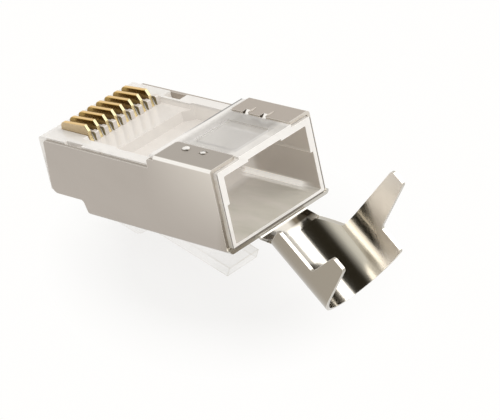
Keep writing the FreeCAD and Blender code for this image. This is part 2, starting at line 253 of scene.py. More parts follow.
# %% Lamp
TAIL_SLOPE = math.radians(45.0)
TAIL_ALONG = level_turn((math.cos(TAIL_SLOPE), 0, -math.sin(TAIL_SLOPE)))
TAIL_SQUARE = level_turn((math.sin(TAIL_SLOPE), 0, math.cos(TAIL_SLOPE)))
LAMP_TURN = -29.5
LAMP_DISTANCE = 0.6
LAMP_LENGTH = 0.6
LAMP_WIDTH = 0.32
LAMP_BRIGHTNESS = 2.65


def tail_turned(turn):
    """The direction square to the tail, turned about the tail's length towards the near side."""
    return TAIL_SQUARE * math.cos(math.radians(turn)) - ACROSS * math.sin(math.radians(turn))


def add_lamp(name, direction, distance, length, width, brightness):
    """A soft lamp, long beside the tail. brightness is what it gives off, where 1 is plain white."""
    data = bpy.data.lights.new(name, "AREA")
    data.shape = "RECTANGLE"
    data.size = length
    data.size_y = width
    data.energy = brightness * math.pi * length * width
    lamp = bpy.data.objects.new(name, data)
    back = direction.normalized()
    turned = Matrix((TAIL_ALONG, back.cross(TAIL_ALONG), back)).transposed().to_4x4()
    lamp.matrix_world = Matrix.Translation(back * distance) @ turned
    bpy.context.scene.collection.objects.link(lamp)
    return lamp


lamp = add_lamp("lamp_behind", tail_turned(LAMP_TURN), LAMP_DISTANCE, LAMP_LENGTH, LAMP_WIDTH,
                LAMP_BRIGHTNESS)
print("lamp:", [round(c, 2) for c in lamp.location], "watts:", round(lamp.data.energy, 2))

# %% [markdown]
# Polished metal in a white room looks white, not like metal. Photographers hang a dark card
# over it to draw bands in it. Here a curved strip hangs about the tail, dark at its back edge and
# grey at its front edge. Flat cards would do the same with hard edges, and a curved strip with a
# shade of its own gives the soft change from dark to grey. Only reflections see it.

# %% Reflector strip
STRIP_TURNS = (-12.0, 92.0)
STRIP_RADIUS = 0.4
STRIP_LENGTH = 1.6
STRIP_STEPS = 24
STRIP_RISE = (0.4, 0.6)
STRIP_BLACK = (0.035, 0.03, 0.02)
STRIP_GREY = (0.66, 0.645, 0.60)


def make_strip_shade():
    """Black at the back edge, rising to grey at the front edge."""
    material, tree, shader = new_material("strip_shade", "Emission")
    shade = add_node(tree, "Attribute", attribute_name="shade").outputs["Fac"]
    color = mix_colors(tree, ramp(tree, shade, *STRIP_RISE), STRIP_BLACK, STRIP_GREY)
    set_shader(tree, shader, {"Color": color})
    return material


def add_strip():
    """A curved strip about the tail's length, which only reflections see."""
    first, last = STRIP_TURNS
    corners = []
    for step in range(STRIP_STEPS + 1):
        middle = tail_turned(first + (last - first) * step / STRIP_STEPS) * STRIP_RADIUS
        corners += [middle - TAIL_ALONG * STRIP_LENGTH / 2, middle + TAIL_ALONG * STRIP_LENGTH / 2]
    faces = [(2 * step, 2 * step + 1, 2 * step + 3, 2 * step + 2) for step in range(STRIP_STEPS)]
    mesh = bpy.data.meshes.new("reflector_strip")
    mesh.from_pydata(corners, [], faces)
    shade = mesh.attributes.new("shade", "FLOAT", "POINT")
    for index in range(len(corners)):
        shade.data[index].value = (index // 2) / STRIP_STEPS
    mesh.materials.append(make_strip_shade())
    strip = bpy.data.objects.new("reflector_strip", mesh)
    bpy.context.scene.collection.objects.link(strip)
    strip.visible_camera = False
    strip.visible_diffuse = False
    strip.visible_transmission = False
    strip.visible_shadow = False
    return strip


strip = add_strip()
print("strip corners:", len(strip.data.vertices))

# %% [markdown]
# The table is matt and pale, with a faint speckle. It is lit like the plug, so it keeps the soft
# shadow, and away from the plug it fades into the white of the room. More light on the table
# would bleach the plug as well, so the white comes from the table's own material instead.

# %% Table
TABLE_SIZE = 3.0
TABLE_DARK = (0.90, 0.89, 0.88)
TABLE_LIGHT = (0.94, 0.935, 0.93)
TABLE_FADE = (0.008, 0.0155)
TABLE_GLOW = 0.82


def make_table_finish():
    material, tree, shader = new_material("pale_table")
    place = add_node(tree, "TexCoord").outputs["Object"]
    speck = add_node(tree, "TexNoise", {"Vector": place, "Scale": 60.0, "Detail": 3.0}).outputs["Fac"]
    color = mix_colors(tree, speck, TABLE_DARK, TABLE_LIGHT)
    set_shader(tree, shader, {"Base Color": color, "Roughness": 0.7})
    far = add_node(tree, "VectorMath", {0: place}, operation="LENGTH").outputs["Value"]
    share = maths(tree, "MULTIPLY", ramp(tree, far, *TABLE_FADE, TABLE_GLOW, 1.0), seen_ray(tree))
    glow = add_node(tree, "Emission", {"Color": ROOM_WHITE})
    blend = add_node(tree, "MixShader", {0: share, 1: shader.outputs[0], 2: glow.outputs[0]})
    output = next(node for node in tree.nodes if node.type == "OUTPUT_MATERIAL")
    feed(tree, output.inputs["Surface"], blend.outputs[0])
    return material


def add_table():
    half = TABLE_SIZE / 2
    mesh = bpy.data.meshes.new("table_top")
    mesh.from_pydata([(-half, -half, 0), (half, -half, 0), (half, half, 0), (-half, half, 0)], [],
                     [(0, 1, 2, 3)])
    mesh.materials.append(make_table_finish())
    sheet = bpy.data.objects.new("table_top", mesh)
    bpy.context.scene.collection.objects.link(sheet)
    return sheet


print("table:", add_table().name)

# %% [markdown]
# ## Shared shader effects
# Real finishes differ from place to place: handled faces are cloudy, and sharp edges get a
# painted highlight.
# Effects that more than one finish uses are node groups, built once and given other values in
# each. The first finds sharp edges, by comparing a rounded normal with the flat one. Painting the
# edges by hand would give the same, but would be lost with each change of shape. The second makes
# cloudy smudges from noise. Both put out only a mask, which each finish uses in its own way.

# %% Edge and smudge groups


def new_mask_group(name, inputs):
    """An empty shader group that puts out one mask. Each input is (name, kind, value)."""
    group = bpy.data.node_groups.new(name, "ShaderNodeTree")
    for label, kind, value in inputs:
        socket = group.interface.new_socket(label, in_out="INPUT", socket_type="NodeSocket" + kind)
        socket.default_value = value
    group.interface.new_socket("Mask", in_out="OUTPUT", socket_type="NodeSocketFloat")
    given = group.nodes.new("NodeGroupInput").outputs
    put = group.nodes.new("NodeGroupOutput").inputs["Mask"]
    return group, given, put


def make_edge_group():
    """Where a surface turns sharply."""
    group, given, put = new_mask_group("turned_edges", [("Radius", "Float", 0.0001), ("Gain", "Float", 6.0)])
    rounded = add_node(group, "Bevel", {"Radius": given["Radius"]}, samples=4).outputs[0]
    flat = add_node(group, "NewGeometry").outputs["Normal"]
    agree = add_node(group, "VectorMath", {0: rounded, 1: flat}, operation="DOT_PRODUCT").outputs["Value"]
    differ = maths(group, "SUBTRACT", 1.0, agree)
    feed(group, put, maths(group, "MULTIPLY", differ, given["Gain"], clamp=True))
    return group


def make_smudge_group():
    """Cloudy patches, for handled metal and plastic."""
    group, given, put = new_mask_group("smudges", [("Scale", "Float", 300.0),
                                                   ("Stretch", "Vector", (1, 1, 1)),
                                                   ("Low", "Float", 0.4), ("High", "Float", 0.7)])
    place = add_node(group, "TexCoord").outputs["Object"]
    stretched = add_node(group, "VectorMath", {0: place, 1: given["Stretch"]},
                         operation="MULTIPLY").outputs[0]
    cloud = add_node(group, "TexNoise", {"Vector": stretched, "Scale": given["Scale"], "Detail": 4.0,
                                         "Roughness": 0.55, "Distortion": 0.4}).outputs["Fac"]
    feed(group, put, ramp(group, cloud, given["Low"], given["High"]))
    return group


EDGES = make_edge_group()
SMUDGES = make_smudge_group()
print("groups:", EDGES.name, SMUDGES.name)

# %% [markdown]
# Many tones of the plug are painted light and shade that belong to a place on it, such as the
# painted shade inside the cable mouth, or to a way of facing, such as the painted shade on the flat
# tops of the tabs. A picture could hold them, but it would need a flat layout of each part. Two
# more groups give them by rule: where a surface faces along a direction, and where it lies past a
# place. A finish multiplies such masks to find one spot.

# %% Facing and place groups


def make_facing_group(name, either_way):
    """Where a surface faces along a direction: the more squarely, the whiter."""
    group, given, put = new_mask_group(name, [("Direction", "Vector", (0, 0, 1)), ("Low", "Float", 0.5),
                                              ("High", "Float", 1.0)])
    normal = add_node(group, "NewGeometry").outputs["Normal"]
    agree = add_node(group, "VectorMath", {0: normal, 1: given["Direction"]},
                     operation="DOT_PRODUCT").outputs["Value"]
    if either_way:
        agree = add_node(group, "Math", {0: agree}, operation="ABSOLUTE").outputs[0]
    feed(group, put, ramp(group, agree, given["Low"], given["High"]))
    return group


def make_place_group():
    """Black before Start and white after End, measured along a direction, in metres."""
    group, given, put = new_mask_group("past_place", [("Direction", "Vector", (1, 0, 0)),
                                                      ("Start", "Float", 0.0), ("End", "Float", 0.01)])
    place = add_node(group, "TexCoord").outputs["Object"]
    far = add_node(group, "VectorMath", {0: place, 1: given["Direction"]},
                   operation="DOT_PRODUCT").outputs["Value"]
    feed(group, put, ramp(group, far, given["Start"], given["End"]))
    return group


FACES_ONE_WAY = make_facing_group("faces_one_way", False)
FACES_EITHER_WAY = make_facing_group("faces_either_way", True)
PAST_PLACE = make_place_group()


def use_group(tree, group, **values):
    """Places a group in a tree with its own values, and returns its mask."""
    node = add_node(tree, "Group", node_tree=group)
    for name, value in values.items():
        feed(tree, node.inputs[name], value)
    return node.outputs["Mask"]


def faces(tree, direction, low, high):
    """Where a surface faces one way along a direction."""
    return use_group(tree, FACES_ONE_WAY, Direction=direction, Low=low, High=high)


def faces_either_way(tree, direction, low, high):
    """Where a surface faces along a direction, either way."""
    return use_group(tree, FACES_EITHER_WAY, Direction=direction, Low=low, High=high)


def past(tree, direction, start, end):
    """A mask that rises from one place to another on the level plug, in millimetres."""
    origin = START.dot(direction)
    return use_group(tree, PAST_PLACE, Direction=direction, Start=origin + start * MILLIMETRE,
                     End=origin + end * MILLIMETRE)


def overlap(tree, *masks):
    """Where all of the masks agree."""
    result = masks[0]
    for mask in masks[1:]:
        result = maths(tree, "MULTIPLY", result, mask)
    return result


def either(tree, first, second):
    """Where one mask or the other is."""
    return maths(tree, "MAXIMUM", first, second)


def within(tree, direction, rise, fall):
    """A mask that rises over one stretch of a direction and falls over a later one."""
    return overlap(tree, past(tree, direction, *rise), past(tree, direction, fall[1], fall[0]))


print("groups:", FACES_ONE_WAY.name, FACES_EITHER_WAY.name, PAST_PLACE.name)

# %% [markdown]
# ## Nickel
# The shield is thin brass sheet with satin nickel plate: a warm grey metal, with faint clouds
# from the roller. One flat grey with one roughness would look like plastic, so the clouds change
# its colour and gloss a little. The rest of its tones are painted light: a paler painted reflection
# to the top rear, painted shade on the flat of the tabs, painted highlights along the sharp edges
# and the folds, and a paler painted reflection on the lip beside the tail. Every stretch below is
# in millimetres on the level plug, from where a mask is black to where it is white.

# %% Satin nickel of the body
NICKEL_DARK = (0.465, 0.42, 0.375)
NICKEL_LIGHT = (0.485, 0.44, 0.395)
# Painted light: the rear tone is a paler painted reflection, the edge and fold tones are painted highlights,
# the two tab tones are painted shade and the lip tone is a paler painted reflection.
NICKEL_REAR_REFLECTION = (0.72, 0.67, 0.60)
NICKEL_EDGE_HIGHLIGHT = (0.90, 0.86, 0.80)
NICKEL_FOLD_HIGHLIGHT = (1.0, 0.97, 0.92)
NICKEL_TAB_SHADE = (0.40, 0.36, 0.315)
NICKEL_FAR_TAB_SHADE = (0.455, 0.40, 0.345)
NICKEL_LIP_REFLECTION = (0.58, 0.555, 0.505)
REAR_ALONG = (13.0, 22.0)
REAR_UP = (1.0, 7.5)
FAR_HALF = (-1.0, 1.0)
TAB_FACING = (0.95, 0.99)
FOLD_FACING = ((0.2, 0.45), (0.985, 0.9))
LIP_ALONG = ((21.4, 21.5), (22.1, 22.3))
LIP_BELOW = (0.6, 0.45)


def body_color(tree, clouds):
    """Cloudy grey, with a paler painted reflection to the top rear, painted shade on the tabs and a painted
    highlight on the folds.
    """
    color = mix_colors(tree, clouds, NICKEL_LIGHT, NICKEL_DARK)
    rear = overlap(tree, past(tree, ALONG, *REAR_ALONG), past(tree, UPWARD, *REAR_UP))
    color = mix_colors(tree, rear, color, NICKEL_REAR_REFLECTION)
    tabs = mix_colors(tree, past(tree, ACROSS, *FAR_HALF), NICKEL_TAB_SHADE, NICKEL_FAR_TAB_SHADE)
    color = mix_colors(tree, faces(tree, UPWARD, *TAB_FACING), color, tabs)
    folds = overlap(tree, *(faces(tree, UPWARD, *stretch) for stretch in FOLD_FACING))
    return mix_colors(tree, folds, color, NICKEL_FOLD_HIGHLIGHT)


print("body tones:", NICKEL_DARK, "to", NICKEL_EDGE_HIGHLIGHT)

# %% [markdown]
# The tail was polished by the bending tool, so it is nearly a mirror and takes its bands from the
# lamp and the strip. What it mirrors in the photograph, a whole studio, isn't here, so its
# reflections are painted by place: painted shade on the outside, painted shade on the neck,
# darkest on its far half, and a bright painted reflection on the far wall and its ear, whose gloss
# is satin again. Building that studio would take longer than the plug.

# %% Polished nickel of the tail
NICKEL_POLISHED = (0.54, 0.51, 0.455)
# Painted light: the outside and neck tones are painted shade, the far wall and ear tones are painted
# reflections.
NICKEL_OUTER_SHADE = (0.34, 0.30, 0.24)
NICKEL_FAR_WALL_REFLECTION = (0.88, 0.84, 0.75)
NICKEL_FAR_EAR_REFLECTION = (0.97, 0.915, 0.85)
NICKEL_NEAR_NECK_SHADE = (0.24, 0.225, 0.20)
NICKEL_NECK_SHADE = (0.055, 0.044, 0.03)
OUTER_FACING = (-0.1, 0.15)
OUTER_ASIDE = (1.5, 2.5)
FAR_WALL_ACROSS = ((2.3, 2.9), (3.35, 3.5))
FAR_WALL_FACING = (-0.3, -0.5)
UP_THE_EAR = (TAIL_SQUARE + TAIL_ALONG * 0.62).normalized()
EAR_FROM = (27.0, 28.1)
EAR_ACROSS = (2.0, 3.0)
EAR_FACING = (-0.6, -0.85)
NECK_ALONG = ((15.5, 15.7), (16.2, 16.7))
NECK_FAR = (0.2, 0.9)


def far_ear_mask(tree):
    return overlap(tree, past(tree, UP_THE_EAR, *EAR_FROM), past(tree, ACROSS, *EAR_ACROSS),
                   faces(tree, ACROSS, *EAR_FACING))


def tail_color(tree, far_ear):
    """Polished grey, with painted shade on the outside and the neck and a painted reflection on the far wall
    and its ear.
    """
    outer = overlap(tree, faces(tree, -ACROSS, *OUTER_FACING), past(tree, -ACROSS, *OUTER_ASIDE))
    color = mix_colors(tree, outer, NICKEL_POLISHED, NICKEL_OUTER_SHADE)
    far_wall = overlap(tree, within(tree, ACROSS, *FAR_WALL_ACROSS), faces(tree, ACROSS, *FAR_WALL_FACING))
    color = mix_colors(tree, far_wall, color, NICKEL_FAR_WALL_REFLECTION)
    color = mix_colors(tree, far_ear, color, NICKEL_FAR_EAR_REFLECTION)
    neck_tone = mix_colors(tree, past(tree, ACROSS, *NECK_FAR), NICKEL_NEAR_NECK_SHADE, NICKEL_NECK_SHADE)
    return mix_colors(tree, within(tree, TAIL_ALONG, *NECK_ALONG), color, neck_tone)


print("tail tones:", NICKEL_NECK_SHADE, "to", NICKEL_FAR_EAR_REFLECTION)

# %% [markdown]
# Both tones meet in one material, because the shield is one sheet: the change from satin to
# polish runs over two millimetres at the bend. The sheet's rolled grain is a fine noise, stretched
# along the plug, that only tilts the surface a little. A real groove for each line of the grain
# would take millions of faces and show no better.

# %% Nickel
TAIL_FROM = 0.0045
TAIL_TO = 0.0065
SATIN_GLOSS = (0.29, 0.33)
MIRROR_GLOSS = (0.13, 0.17)
FAR_EAR_GLOSS = 0.36


def rolled_grain(tree):
    """A bump of fine lines along the plug."""
    place = add_node(tree, "TexCoord").outputs["Object"]
    stretched = add_node(tree, "Mapping", {"Vector": place, "Scale": (0.25, 4.0, 4.0)}).outputs[0]
    grain = add_node(tree, "TexNoise", {"Vector": stretched, "Scale": 3000.0, "Detail": 2.0}).outputs["Fac"]
    return add_node(tree, "Bump", {"Height": grain, "Strength": 0.08, "Distance": 0.00001}).outputs[0]


def make_nickel():
    material, tree, shader = new_material("satin_nickel")
    clouds = use_group(tree, SMUDGES, Scale=120.0, Stretch=(1.0, 1.0, 2.0), Low=0.2, High=0.8)
    edges = use_group(tree, EDGES, Radius=0.00007, Gain=5.0)
    tail = use_group(tree, PAST_PLACE, Direction=(1.0, 0.0, 0.0), Start=TAIL_FROM, End=TAIL_TO)
    far_ear = far_ear_mask(tree)
    lip = overlap(tree, within(tree, ALONG, *LIP_ALONG), past(tree, UPWARD, *LIP_BELOW))
    color = mix_colors(tree, tail, body_color(tree, clouds), tail_color(tree, far_ear))
    # Painted light: a paler painted reflection on the lip, and a painted highlight on every sharp edge but
    # the lip.
    color = mix_colors(tree, lip, color, NICKEL_LIP_REFLECTION)
    color = mix_colors(tree, between(tree, lip, edges, 0.0), color, NICKEL_EDGE_HIGHLIGHT)
    mirror = between(tree, far_ear, between(tree, clouds, *MIRROR_GLOSS), FAR_EAR_GLOSS)
    gloss = between(tree, tail, between(tree, clouds, *SATIN_GLOSS), mirror)
    set_shader(tree, shader, {"Base Color": color, "Metallic": 1.0, "Roughness": gloss,
                              "Normal": rolled_grain(tree)})
    return material


NICKEL = make_nickel()
print("finish:", NICKEL.name, "nodes:", len(NICKEL.node_tree.nodes))

# %% [markdown]
# ## Clear plastic
# The housing and the latch are clear polycarbonate, a little milky and frosted where the mould
# was not polished. A glass material bends every ray through many thin walls, is slow and turns
# dark. Alpha is chosen instead: the surface covers part of what lies behind it, more where the
# wall is thick or seen on edge, and a faint painted glow stands for the light that scatters inside.
# The places that get painted shade, a painted highlight or painted glow are listed first.

# %% Places in the moulding
ROOF_ALONG = ((14.5, 15.1), (20.2, 20.9))
ROOF_ABOVE = (6.95, 7.15)
PANEL_ALONG = ((15.3, 15.6), (20.8, 21.0))
PANEL_ACROSS = ((-2.4, -2.2), (2.2, 2.4))
PANEL_ABOVE = (7.15, 7.25)
PANEL_SHARE = 0.6
BROW_ALONG = ((13.8, 13.85), (14.12, 14.22))
BROW_ABOVE = (7.2, 7.3)
BROW_FAR = (-2.0, 1.5)
MOUTH_ALONG = (14.0, 14.6)
MOUTH_BELOW = (6.75, 6.6)
MOUTH_END = (21.75, 21.7)
MOUTH_WALL = (3.0, 3.5)
LINE_ALONG = ((12.0, 13.0), (19.6, 21.2))
LINE_ACROSS = ((4.6, 4.75), (5.06, 5.2))
LINE_BELOW = (1.2, 1.0)
SHELF_ALONG = ((4.2, 4.4), (13.6, 13.8))
SHELF_BELOW = (6.35, 6.2)
RIM_FROM = (21.72, 21.76)
GAP_ASIDE = (5.38, 5.42)
GAP_BELOW = (0.46, 0.42)
SQUARE_ON = (0.9, 0.98)
SIDE_ON = (0.7, 0.95)


def moulding_places(tree):
    """A mask for each place of the moulding that gets painted shade, a painted highlight or painted glow."""
    panel = overlap(tree, within(tree, ALONG, *PANEL_ALONG), past(tree, UPWARD, *PANEL_ABOVE),
                    within(tree, ACROSS, *PANEL_ACROSS))
    roof = overlap(tree, within(tree, ALONG, *ROOF_ALONG), faces(tree, UPWARD, *SQUARE_ON),
                   past(tree, UPWARD, *ROOF_ABOVE))
    brow = overlap(tree, within(tree, ALONG, *BROW_ALONG), past(tree, UPWARD, *BROW_ABOVE),
                   past(tree, ACROSS, *BROW_FAR))
    mouth = overlap(tree, past(tree, ALONG, *MOUTH_ALONG), past(tree, UPWARD, *MOUTH_BELOW),
                    past(tree, ALONG, *MOUTH_END))
    wall = overlap(tree, mouth, faces_either_way(tree, ACROSS, *SIDE_ON), past(tree, ACROSS, *MOUTH_WALL))
    line = overlap(tree, within(tree, ALONG, *LINE_ALONG), within(tree, ACROSS, *LINE_ACROSS),
                   past(tree, UPWARD, *LINE_BELOW))
    shelf = overlap(tree, within(tree, ALONG, *SHELF_ALONG), past(tree, UPWARD, *SHELF_BELOW))
    rim = overlap(tree, past(tree, ALONG, *RIM_FROM), faces_either_way(tree, ALONG, *SQUARE_ON))
    sides = either(tree, past(tree, ACROSS, *GAP_ASIDE), past(tree, -ACROSS, *GAP_ASIDE))
    gap = overlap(tree, rim, either(tree, sides, past(tree, UPWARD, *GAP_BELOW)))
    return {"panel": panel, "roof": either(tree, roof, between(tree, panel, 0.0, PANEL_SHARE)),
            "brow": brow, "mouth": mouth, "wall": wall, "line": line, "shelf": shelf, "gap": gap}


print("roof from", ROOF_ALONG[0][0], "to", ROOF_ALONG[1][1], "mm")

# %% [markdown]
# Each place then gets its colour and its glow, and most of it is painted light. The roof is
# painted greyer as shade, the shelf behind the contacts has a darker base under the strongest
# painted glow, which evens out its shading, the inside of the cable mouth is painted a dimmer beige
# with olive streaks and a darker far wall as shade, a painted highlight runs along its far bottom
# corner, and a thin dark outline of painted shade runs where the moulding meets the shield and
# along the front edge of the block. One shade for all of it would be quicker, but clear plastic
# shows what lies round it, and that differs from wall to wall. Later colours cover earlier ones,
# like coats of paint.

# %% Colour and glow of the plastic
BLACK = (0.0, 0.0, 0.0)
PLASTIC_LIGHT = (0.97, 0.945, 0.905)
PLASTIC_DARK = (0.93, 0.90, 0.86)
PLASTIC_GLOW = (0.24, 0.228, 0.211)
# Painted light: the roof, mouth and mouth wall tones are painted shade, the shelf is a darker base under a
# strong painted glow, the fillet tone is a painted highlight that also glows, and the gap and brow tones are
# painted shade.
ROOF_SHADE = (0.50, 0.48, 0.46)
ROOF_GLOW = (0.10, 0.095, 0.09)
SHELF_TINT = (0.46, 0.43, 0.40)
SHELF_GLOW = (0.89, 0.835, 0.765)
MOUTH_SHADE_BEIGE = (0.89, 0.835, 0.745)
MOUTH_OLIVE = (0.70, 0.675, 0.56)
FILLET_HIGHLIGHT = (0.80, 0.77, 0.72)
MOUTH_WALL_SHADE = (0.66, 0.575, 0.48)
GAP_SHADE = (0.16, 0.14, 0.12)
BROW_SHADE = (0.27, 0.26, 0.245)


def plastic_color(tree, places, clouds):
    streaks = use_group(tree, SMUDGES, Scale=420.0, Stretch=(0.12, 1.0, 1.0), Low=0.4, High=0.62)
    color = mix_colors(tree, clouds, PLASTIC_LIGHT, PLASTIC_DARK)
    for place, tone in (("shelf", SHELF_TINT), ("roof", ROOF_SHADE),
                        ("mouth", mix_colors(tree, streaks, MOUTH_SHADE_BEIGE, MOUTH_OLIVE)),
                        ("wall", MOUTH_WALL_SHADE), ("line", FILLET_HIGHLIGHT), ("gap", GAP_SHADE), ("brow", BROW_SHADE)):
        color = mix_colors(tree, places[place], color, tone)
    return color


def plastic_glow(tree, places):
    glow = PLASTIC_GLOW
    for place, tone in (("roof", ROOF_GLOW), ("shelf", SHELF_GLOW), ("gap", BLACK), ("brow", BLACK),
                        ("line", FILLET_HIGHLIGHT)):
        glow = mix_colors(tree, places[place], glow, tone)
    return glow


print("plastic tones:", PLASTIC_LIGHT, "to", GAP_SHADE)

# %% [markdown]
# How much a wall hides is its milk: little inside the cable mouth, more on the deck and most at
# the ends, where the eye looks along a wall. The latch is thin and almost invisible. One value for
# every wall would look like wax. A shadow or a bounce of light meets far less of the plastic than
# the eye does, because clear plastic lets light pass.

# %% Clear plastic
MILK = {"inside": 0.42, "deck": 0.8, "roof": 0.5, "ends": 0.88}
LATCH_MILK = dict.fromkeys(MILK, 0.16)
DECK_ABOVE = (4.3, 4.8)
BLOCK_FROM = (14.3, 14.9)
LIGHT_STOPPED = 0.15
GLOW = 0.5
PLASTIC_GLOSS = (0.06, 0.2)
SHELF_GLOSS = 0.45
PLASTIC_BENDING = 1.585


def plastic_cover(tree, places, edges, milk):
    """How much of what lies behind a surface it hides, for the eye and for light."""
    inside = between(tree, past(tree, UPWARD, *DECK_ABOVE), milk["inside"], milk["deck"])
    behind = between(tree, past(tree, ALONG, *BLOCK_FROM), inside, milk["roof"])
    cover = between(tree, faces_either_way(tree, ALONG, *SQUARE_ON), behind, milk["ends"])
    # Sharp edges hide more of what lies behind them, a painted highlight along them, though not on the
    # frosted panel.
    cover = maths(tree, "ADD", cover, between(tree, places["panel"], edges, 0.0), clamp=True)
    cover = either(tree, cover, places["line"])
    paths = add_node(tree, "LightPath").outputs
    lighting = either(tree, paths["Is Shadow Ray"], paths["Is Diffuse Ray"])
    return maths(tree, "MULTIPLY", cover, between(tree, lighting, 1.0, LIGHT_STOPPED))


def make_clear_plastic(name, milk):
    material, tree, shader = new_material(name)
    clouds = use_group(tree, SMUDGES, Scale=350.0, Stretch=(1.0, 1.0, 1.0), Low=0.3, High=0.75)
    edges = use_group(tree, EDGES, Radius=0.0001, Gain=4.0)
    places = moulding_places(tree)
    gloss = between(tree, places["shelf"], between(tree, clouds, *PLASTIC_GLOSS), SHELF_GLOSS)
    set_shader(tree, shader, {"Base Color": plastic_color(tree, places, clouds), "Roughness": gloss,
                              "IOR": PLASTIC_BENDING, "Emission Color": plastic_glow(tree, places),
                              "Emission Strength": GLOW, "Alpha": plastic_cover(tree, places, edges, milk)})
    return material


CLEAR = make_clear_plastic("milky_plastic", MILK)
LATCH_CLEAR = make_clear_plastic("milky_latch", LATCH_MILK)
print("finishes:", CLEAR.name, LATCH_CLEAR.name, "nodes:", len(CLEAR.node_tree.nodes))

# %% [markdown]
# ## Gold
# The blades are phosphor bronze with a thin gold plate, bright and yellow on the rounded top edges
# that meet the jack. The rest is painted light: painted shade on the stamped sides, which mostly see
# each other, darker towards their lower edge, a paler painted reflection on the nearest side, which
# sees the room, a painted highlight on the rear faces of the legs and painted shade on the cut knee.
# One gold for all faces would be simpler, but the row would lose the dark gaps that make the blades
# stand apart.

# %% Gold
KNEE_FACING = (0.83, 0.0, 0.557)
GOLD_SIDE_SHADE = (0.46, 0.31, 0.09)
GOLD_LOW_SIDE_SHADE = (0.20, 0.125, 0.05)
GOLD_NEAR_REFLECTION = (0.60, 0.475, 0.30)
GOLD_TOP = (0.80, 0.54, 0.22)
GOLD_LEG_HIGHLIGHT = (1.0, 0.82, 0.46)
GOLD_KNEE_SHADE = (0.36, 0.315, 0.19)
LOW_FROM = (7.3, 6.6)
LOW_SHARE = (0.8, 1.0)
NEAREST_SIDE = (3.62, 3.7)
LEG_FACING = (0.5, 0.75)
KNEE_SQUARE = (0.9, 0.97)
BLADE_SIDE_ON = (0.6, 0.95)
GOLD_GLOSS = (0.18, 0.3)


def make_gold():
    material, tree, shader = new_material("gold_plate")
    clouds = use_group(tree, SMUDGES, Scale=900.0, Stretch=(1.0, 1.0, 1.0), Low=0.35, High=0.7)
    # Painted light: shade on the sides, darker low down, a paler reflection on the nearest side, a highlight
    # on the rear faces of the legs and shade on the knee.
    low = overlap(tree, past(tree, UPWARD, *LOW_FROM), between(tree, clouds, *LOW_SHARE))
    side = mix_colors(tree, low, GOLD_SIDE_SHADE, GOLD_LOW_SIDE_SHADE)
    side = mix_colors(tree, past(tree, -ACROSS, *NEAREST_SIDE), side, GOLD_NEAR_REFLECTION)
    edge = mix_colors(tree, faces(tree, ALONG, *LEG_FACING), GOLD_TOP, GOLD_LEG_HIGHLIGHT)
    edge = mix_colors(tree, faces(tree, level_turn(KNEE_FACING), *KNEE_SQUARE), edge, GOLD_KNEE_SHADE)
    color = mix_colors(tree, faces_either_way(tree, ACROSS, *BLADE_SIDE_ON), edge, side)
    set_shader(tree, shader, {"Base Color": color, "Metallic": 1.0,
                              "Roughness": between(tree, clouds, *GOLD_GLOSS)})
    return material


GOLD = make_gold()
print("finish:", GOLD.name, "nodes:", len(GOLD.node_tree.nodes))

# %% [markdown]
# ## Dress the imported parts
# The shield, the housing and the latch have the right shape already. They could be rebuilt here,
# but then they might no longer fit, so each keeps its mesh and only its material slots change.

# %% Give each part its finish
FINISHES = {"shield": NICKEL, "housing": CLEAR, "latch": LATCH_CLEAR}


def dress(node, material):
    """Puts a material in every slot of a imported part."""
    slots = NODES[node].data.materials
    if slots:
        for index in range(len(slots)):
            slots[index] = material
    else:
        slots.append(material)


for name in NODES:
    dress(name, FINISHES.get(name, GOLD))
print("dressed:", len(NODES), "parts")

# %% [markdown]
# A stamped blade has no sharp edges. Each packed blade is copied, its loose triangles are
# joined, the tip of its rear knee is cut to a short slope, and every hard edge gets a small
# round, which is what catches the light. A bevel in the shading alone would leave the outline
# sharp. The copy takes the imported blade's place and rides with it.

# %% Round the blades
KNEE_START = (3.95, 0.0, 7.4)
BLADE_ROUND = 0.00007
HARD_EDGE = math.radians(25.0)


def rounded_copy(name, radius):
    """A copy of a packed blade with its rear knee cut and its hard edges rounded."""
    work = bmesh.new()
    work.from_mesh(NODES[name].data)
    bmesh.ops.remove_doubles(work, verts=work.verts, dist=1e-7)
    bmesh.ops.dissolve_limit(work, angle_limit=math.radians(1.0), verts=work.verts, edges=work.edges)
    bmesh.ops.bisect_plane(work, geom=work.verts[:] + work.edges[:] + work.faces[:], clear_outer=True,
                           plane_co=level_point(*KNEE_START), plane_no=level_turn(KNEE_FACING))
    bmesh.ops.holes_fill(work, edges=[edge for edge in work.edges if edge.is_boundary])
    hard = [edge for edge in work.edges if edge.is_manifold and edge.calc_face_angle() > HARD_EDGE]
    bmesh.ops.bevel(work, geom=hard, offset=radius, segments=2, profile=0.5, affect="EDGES",
                    clamp_overlap=True)
    mesh = bpy.data.meshes.new(name + "_rounded")
    work.to_mesh(mesh)
    work.free()
    piece = bpy.data.objects.new(name + "_rounded", mesh)
    bpy.context.scene.collection.objects.link(piece)
    return piece


for name in sorted(NODES):
    if name.startswith("contact"):
        blade = rounded_copy(name, BLADE_ROUND)
        blade.data.materials.append(GOLD)
        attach(blade, name)
        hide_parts(name)
print("faces on a blade:", len(blade.data.polygons))

# %% [markdown]
# ## Comb posts
# Between the blades the comb of the housing ends in small posts. A finish comes first: the
# plastic is thick here, so it hides what is behind it, and its sides get painted shade, tinted by
# the gold beside them. The milky plastic would do, but such small posts would vanish in it.

# %% Post plastic
POST_LIGHT = (0.90, 0.83, 0.76)
POST_DARK = (0.80, 0.74, 0.68)
# The side tone is painted shade, tinted by the gold beside the posts.
POST_SIDE_SHADE = (0.40, 0.345, 0.21)
POST_SIDE_FROM = (4.2, 4.3)
POST_GLOSS = (0.2, 0.35)


